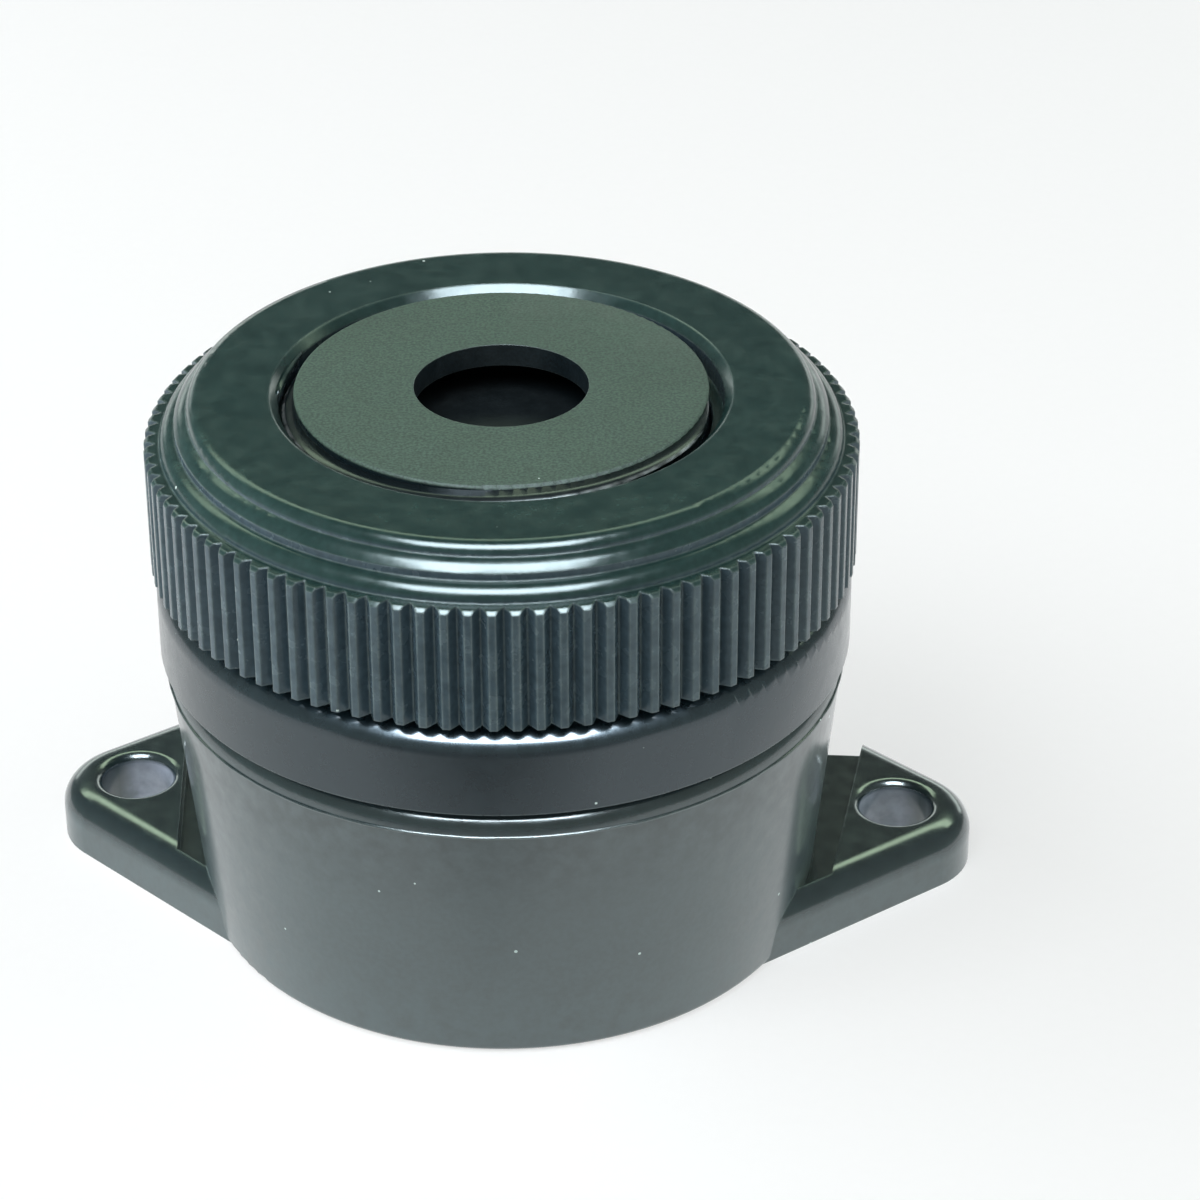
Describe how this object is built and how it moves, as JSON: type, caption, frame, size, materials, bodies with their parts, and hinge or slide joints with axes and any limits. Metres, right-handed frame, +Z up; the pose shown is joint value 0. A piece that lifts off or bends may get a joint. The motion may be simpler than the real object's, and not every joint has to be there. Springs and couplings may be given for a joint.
{
  "type": "piezo buzzer",
  "caption": "Round black panel-mount piezo buzzer: threaded neck with a central sound hole, knurled ring nut, smooth shoulder band and a tapered base with two mounting ears.",
  "frame": {"origin": "centre of the base's bottom plane, on the sound axis", "axes": "+Z up the sound axis, out of the sound hole; +X from the left-hand mounting ear to the right-hand one"},
  "size_m": [0.0408, 0.0298, 0.0245],
  "materials": {
    "housing_plastic": "spark-eroded matt black",
    "nut_plastic": "satin black",
    "base_plastic": "satin black",
    "epoxy": "cured epoxy",
    "brass_sheet": "rolled sheet",
    "piezo_ceramic": "fired, unglazed",
    "silver_film": "screen-printed silver",
    "silicone": "soft white",
    "board_laminate": "green solder mask",
    "moulded_epoxy": "moulded",
    "ferrite": "sintered",
    "copper_wire": "enamelled",
    "resistor_film": "lacquered",
    "diode_glass": "clear",
    "tinned_metal": "tinned",
    "solder": "as flowed",
    "red_insulation": "extruded",
    "blue_insulation": "extruded",
    "black_insulation": "extruded"
  },
  "bodies": {
    "root": {"front_housing": "housing_plastic", "baffle_plate": "housing_plastic", "ring_nut": "nut_plastic", "mounting_base": "base_plastic", "diaphragm_plate": "brass_sheet", "piezo_ceramic": "piezo_ceramic", "main_electrode": "silver_film", "feedback_electrode": "silver_film", "sealant_ring": "silicone", "circuit_board": "board_laminate", "solder_joints": "solder", "transistor_body": "moulded_epoxy", "transistor_leads": "tinned_metal", "inductor_core": "ferrite", "inductor_winding": "copper_wire", "inductor_leads": "tinned_metal", "resistor_1": "resistor_film", "resistor_1_leads": "tinned_metal", "resistor_2": "resistor_film", "resistor_2_leads": "tinned_metal", "diode_body": "diode_glass", "diode_leads": "tinned_metal", "terminal_pins": "tinned_metal", "potting": "epoxy", "drive_wire": "red_insulation", "feedback_wire": "blue_insulation", "ground_wire": "black_insulation", "solder_beads": "solder"}
  },
  "joints": []
}
